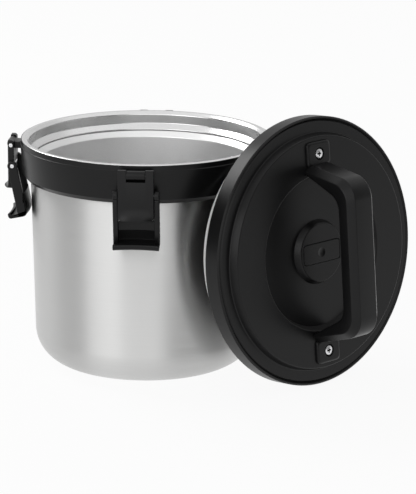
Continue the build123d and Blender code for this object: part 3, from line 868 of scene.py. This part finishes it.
def bail_line(leg, shoulder, foot, top, bend):
    """Outline of the bail from foot to foot: straight legs, round shoulders and a straight grip."""
    corners = [(leg, foot), (shoulder, top), (-shoulder, top), (-leg, foot)]
    return rounded(corners, [0, bend, bend, 0], 14, closed=False)


def bail_grid(size):
    """Bevelled bar carried along the bail: its section lies between an inner and an outer outline and is a
    rectangle with two bevelled corners."""
    foot, half, cut = size.foot + FIT, size.width / 2, size.bevel
    outer = bail_line(size.leg_out, size.shoulder, foot, size.top, size.outer_bend)
    leg, shoulder = size.leg_out - size.leg_thickness, size.shoulder - size.shoulder_thickness
    inner = bail_line(leg, shoulder, foot, size.top - size.thickness, size.inner_bend)
    depth = np.linalg.norm(outer - inner, axis=-1)
    across = np.array([-half, half, half, half - cut, cut - half, -half])
    rise = np.outer(depth, [0, 0, 1, 1, 1, 1]) - cut * np.array([0, 0, 1, 0, 0, 1])
    corners = np.stack([np.broadcast_to(across, rise.shape), rise], -1)
    section = rounded(corners, mm(1.6, 1.6, 1.3, 1.3, 1.3, 1.3))
    place = inner[:, None] + unit(outer - inner)[:, None] * section[..., 1:]
    return on_lid(np.stack([section[..., 0], place[..., 0]], -1), place[..., 1])


def rings():
    """Points of a whole unit circle."""
    return arc(np.linspace(0, 2 * pi, SMALL_RING, endpoint=False))


def block_rings(sides, power):
    """Rings that are rounded rectangles, |x/a|^p + |y/b|^p = 1, one for each pair of half sides."""
    return rings() / (np.abs(rings() / sides[:, None]) ** power).sum(-1, keepdims=True) ** (1 / power)


def on_lid(flat, rise):
    """Rings of flat points lifted off the lid: origin + x * level + y * up the face + rise * out of it."""
    axes = lid_axes()
    rise = np.broadcast_to(rise, flat.shape[:2])[..., None]
    return axes["origin"] + flat[..., :1] * axes["x"] + flat[..., 1:] * axes["y"] + rise * axes["z"]


def pad_grid(size, reach):
    """Pad from its foot over a bevelled rim and into the screw's hole: rounded rectangles, then circles."""
    half = np.array([size.pad_width, size.pad_length]) / 2
    inset = mm(0, 0, 0.2, 1.3, 1.6, 1.9)
    height = size.pad_top - mm(4.9, 0.9, 0.6, 0.1, 0, 0)
    radius = mm(5.6, 5.3, 5.0, 4.9, 4.9, 0)
    sunk = size.pad_top - mm(0, 0, 0.1, 0.4, 2.2, 2.2)
    flat = np.concatenate([block_rings(half - inset[:, None], PAD_POWER), radius[:, None, None] * rings()])
    return on_lid(flat + (0, reach), np.concatenate([height, sunk])[:, None])


def screw_grid(size, reach):
    """Shank and domed head of a screw. The head's rings sink where they lie in an arm of its cross."""
    seat = size.pad_top - size.screw_sink
    head_radius, dome = mm(3.6, 0.55)
    arm_half, arm_reach, arm_edge, arm_depth = mm(0.6, 2.0, 0.3, 1.2)
    crown = np.linspace(1, 0, 26)
    radius = np.concatenate([mm(0, 2.0, 2.0, 3.75, 3.72), head_radius * crown])
    height = np.concatenate([mm(-8.4, -8.4, 0, 0, 1.6), size.screw_head - dome * crown**2])
    flat = radius[:, None, None] * rings()
    near, far = np.abs(flat).min(-1), np.abs(flat).max(-1)
    outside = np.maximum(near - arm_half, far - arm_reach)
    recess = np.clip(0.5 - outside / arm_edge, 0, 1)
    recess[: len(radius) - len(crown)] = 0
    return on_lid(flat + (0, reach), seat + height[:, None] - arm_depth * recess), recess


class CROCK_OT_vent(bpy.types.Operator):
    """Vent disc, button, stem, seal and spring"""

    bl_idname = "crock.vent"
    bl_label = "Vent"

    def execute(self, context):
        size, axes = context.scene.crock_vent, lid_axes()
        mould("vent_disc", disc_grid(size), "lid", "vent_bezel", caps=False)
        mould("vent_tab", button_grid(size), "vent", "vent_button", caps=False)
        spring = skin("vent_coil", coil_grid(size), close_rows=False, caps=True)
        dress(spring, "lid", "bright_steel", "vent_spring")
        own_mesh(spring)
        coat("black_plastic", "vent_stem")
        coat("silicone", "vent_seal")
        return {"FINISHED"}


def disc_grid(size):
    """Disc with the button's cup: from the cup's underside out along the dish, up a sloped wall, over a
    round rim and down the well to its floor. Rounded rectangles, circles, then rounded rectangles."""
    half = np.array([size.button_length, size.button_width]) / 2 + size.gap
    cup = block_rings(half + size.cup_wall * np.ones((2, 1)), TAB_POWER)
    rim = size.slope + mm(-0.6, -0.3, 0, 0.4, 0.8)
    radius = size.radius - np.concatenate([[0], rim])
    mouth = mm(0.5, 0.2, 0, 0)
    well = block_rings(half + mouth[:, None], TAB_POWER)
    flat = np.concatenate([0 * cup[:1], cup, radius[:, None, None] * rings(), well, 0 * well[:1]])
    under = size.well_floor - size.cup_wall
    wall = size.top - mm(1.0, 0.5, 0.15, 0, 0)
    down = [size.top, size.top, size.top - mouth[1], size.well_floor, size.well_floor]
    rise = np.concatenate([[under, under, size.floor, size.floor], wall, down])
    return on_lid(flat, rise[:, None])


def coil_grid(size):
    """Spring's wire as circles along a helix, r * (cos t, sin t), that rises evenly from the well."""
    turn = np.linspace(0, 2 * pi * size.coil_turns, 24 * size.coil_turns + 1)[:, None]
    round_wire = np.linspace(0, 2 * pi, 10, endpoint=False)
    reach = size.coil_radius + size.wire * np.cos(round_wire)
    travel = size.top - size.button_thickness - size.well_floor - 2 * size.wire - 2 * size.coil_play
    low = size.well_floor + size.wire + size.coil_play
    rise = low + travel * turn / turn[-1] + size.wire * np.sin(round_wire)
    return on_lid(reach[:, None] * arc(turn), rise)


def button_grid(size):
    """Button from its underside over a round rim to a dimple, sink * (1 - (r / R)^2) deep: rounded
    rectangles, then circles."""
    half = np.array([size.button_length, size.button_width]) / 2
    blocks = block_rings(half - mm(0, 0, 0.1, 0.3, 0.6)[:, None], TAB_POWER)
    under = size.top - size.button_thickness
    rise = np.concatenate([[under, under], size.top - mm(0.3, 0.1, 0, 0)])
    share = np.concatenate([[1.12, 1.04], np.linspace(1, 0, 12)])
    circles = size.dimple * share[:, None, None] * rings()
    dip = size.top - size.dimple_sink * np.clip(1 - share**2, 0, 1)
    flat = np.concatenate([0 * blocks[:1], blocks, circles])
    return on_lid(flat, np.concatenate([rise, dip])[:, None])


class CROCK_OT_stage(bpy.types.Operator):
    """Pale floor, reflected wall, soft lamps, white surroundings and the camera"""

    bl_idname = "crock.stage"
    bl_label = "Stage"

    def execute(self, context):
        scene = context.scene
        scene.view_settings.view_transform = "Standard"
        pale_world(scene)
        pale_floor()
        studio_wall(scene.crock_stage.bearing)
        for name, place, aim, size, power in LAMPS:
            soft_lamp(name, Vector(place), Vector(aim), size, power)
        stage_camera(scene)
        return {"FINISHED"}


def show_white(tree, plain, white, share, output):
    """Mixes a share of the white shader over the plain one for camera, glossy and transmission rays."""
    path = node(tree, "LightPath")
    seen = path.outputs["Is Camera Ray"]
    for ray in ("Is Glossy Ray", "Is Transmission Ray"):
        either = node(tree, "Math")
        either.operation = "MAXIMUM"
        tree.links.new(seen, either.inputs[0])
        tree.links.new(path.outputs[ray], either.inputs[1])
        seen = either.outputs[0]
    part = node(tree, "Math")
    part.operation = "MULTIPLY"
    part.inputs[1].default_value = share
    mix = node(tree, "MixShader")
    tree.links.new(seen, part.inputs[0])
    tree.links.new(part.outputs[0], mix.inputs["Fac"])
    tree.links.new(plain.outputs[0], mix.inputs[1])
    tree.links.new(white.outputs[0], mix.inputs[2])
    tree.links.new(mix.outputs[0], tree.nodes[output].inputs["Surface"])


def pale_world(scene):
    """World that is white where it is seen and gives a plain even light elsewhere."""
    world = bpy.data.worlds.new("surroundings")
    scene.world = world
    world.use_nodes = True
    tree = world.node_tree
    light = fill(tree.nodes["Background"], Color=(1, 1, 1, 1), Strength=WORLD_LIGHT)
    white = node(tree, "Background", Color=(1, 1, 1, 1))
    show_white(tree, light, white, 1.0, "World Output")


def pale_floor():
    """White floor that stays white where it is seen and keeps a share of the object's shadow."""
    mesh = bpy.data.meshes.new("floor")
    corners = [(x * FLOOR_HALF, y * FLOOR_HALF, 0) for x, y in ((-1, -1), (1, -1), (1, 1), (-1, 1))]
    mesh.from_pydata(corners, [], [(0, 1, 2, 3)])
    floor = bpy.data.objects.new("floor", mesh)
    bpy.context.scene.collection.objects.link(floor)
    material, tree, shader = new_finish("pale_floor", (0.85, 0.85, 0.85), 0.8)
    fill(shader, Specular_IOR_Level=0.0)
    show_white(tree, shader, node(tree, "Emission"), FLOOR_WHITE, "Material Output")
    mesh.materials.append(material)


def studio_wall(bearing):
    """Round grey wall that only reflections see, its brightness blended between stated bearings."""
    turn = bearing + np.linspace(-pi, pi, 145)
    ring = WALL * np.stack([np.sin(turn), -np.cos(turn)], -1)
    grid = np.stack([np.pad(ring, ((0, 0), (0, 1)), constant_values=rise) for rise in (0.0, WALL)])
    wall = skin("wall", grid, close_rows=False, close_columns=False)
    material = bpy.data.materials.new("grey_wall")
    material.use_nodes = True
    tree = material.node_tree
    place = node(tree, "UVMap")
    place.uv_map = "Along"
    parts = node(tree, "SeparateXYZ")
    ramp = node(tree, "ValToRGB")
    ramp.color_ramp.interpolation = "EASE"
    stops = ramp.color_ramp.elements
    for stop, (_, bright) in zip(list(stops), (WALL_SHADES[0], WALL_SHADES[-1])):
        stop.color = (bright, bright, bright, 1)
    for degrees, bright in WALL_SHADES[1:-1]:
        stops.new((degrees + 180) / 360).color = (bright, bright, bright, 1)
    glow = node(tree, "Emission")
    tree.links.new(place.outputs["UV"], parts.inputs[0])
    tree.links.new(parts.outputs["X"], ramp.inputs["Fac"])
    tree.links.new(ramp.outputs["Color"], glow.inputs["Color"])
    tree.links.new(glow.outputs[0], tree.nodes["Material Output"].inputs["Surface"])
    wall.data.materials.append(material)
    wall.visible_camera = wall.visible_diffuse = wall.visible_shadow = wall.visible_transmission = False


def soft_lamp(name, place, aim, size, power):
    """Square soft box at a place, turned towards a point."""
    lamp = bpy.data.lights.new(name, "AREA")
    lamp.shape = "SQUARE"
    lamp.size = size
    lamp.energy = power
    holder = bpy.data.objects.new(name, lamp)
    holder.location = place
    holder.rotation_euler = (aim - place).to_track_quat("-Z", "Y").to_euler()
    bpy.context.scene.collection.objects.link(holder)


def stage_camera(scene):
    """Long lens on the right of the front latch, tilted down at the crock and turned a little right."""
    stage = scene.crock_stage
    camera = bpy.data.cameras.new("camera")
    camera.sensor_width = SENSOR
    camera.lens = stage.focal * SENSOR / max(IMAGE)
    camera.clip_end = 50
    holder = bpy.data.objects.new("camera", camera)
    turn = Matrix.Rotation(stage.bearing, 3, "Z")
    ahead = turn @ Vector((0, cos(stage.elevation), -sin(stage.elevation)))
    right = turn @ Vector((1, 0, 0))
    up = right.cross(ahead)
    place = Vector((0, 0, stage.aim)) - ahead * stage.distance
    facing = ahead * cos(stage.yaw) + right * sin(stage.yaw)
    level = right * cos(stage.yaw) - ahead * sin(stage.yaw)
    axes = Matrix((level, up, -facing)).transposed().to_4x4()
    holder.matrix_world = Matrix.Translation(place) @ axes
    scene.collection.objects.link(holder)
    scene.camera = holder


class CROCK_PT_panel(bpy.types.Panel):
    """Lists the crock's sizes and colours, and its operators"""

    bl_label = "Serving crock"
    bl_idname = "CROCK_PT_panel"
    bl_space_type = "VIEW_3D"
    bl_region_type = "UI"
    bl_category = "Crock"

    def draw(self, context):
        for name, kind in GROUPS.items():
            self.layout.label(text=kind.__doc__)
            for entry in kind.__annotations__:
                label = entry.replace("_", " ").capitalize()
                self.layout.prop(getattr(context.scene, name), entry, text=label)
        for operator in OPERATORS:
            self.layout.operator(operator.bl_idname)


OPERATORS = (
    CROCK_OT_pot,
    CROCK_OT_collar,
    CROCK_OT_latches,
    CROCK_OT_lid,
    CROCK_OT_handle,
    CROCK_OT_vent,
    CROCK_OT_stage,
)
GROUPS = {
    "crock_sizes": CrockSizes,
    "crock_neck": NeckSizes,
    "crock_collar": CollarSizes,
    "crock_latch": LatchSizes,
    "crock_gasket": GasketSizes,
    "crock_handle": HandleSizes,
    "crock_vent": VentSizes,
    "crock_colours": CrockColours,
    "crock_stage": CrockStage,
}
CLASSES = (*GROUPS.values(), *OPERATORS, CROCK_PT_panel)


def register():
    """Registers the classes and the scene's groups of sizes and colours."""
    for item in CLASSES:
        bpy.utils.register_class(item)
    for name, group in GROUPS.items():
        setattr(bpy.types.Scene, name, PointerProperty(type=group))


def unregister():
    """Removes the groups and the classes."""
    for name in GROUPS:
        delattr(bpy.types.Scene, name)
    for item in reversed(CLASSES):
        bpy.utils.unregister_class(item)


def main():
    """Makes every piece and the stage, and writes the boxes of the packed and of the dressed object."""
    register()
    bpy.ops.crock.pot()
    bpy.ops.crock.collar()
    bpy.ops.crock.latches()
    bpy.ops.crock.lid()
    bpy.ops.crock.handle()
    bpy.ops.crock.vent()
    bpy.ops.crock.stage()


if __name__ == "__main__":
    main()
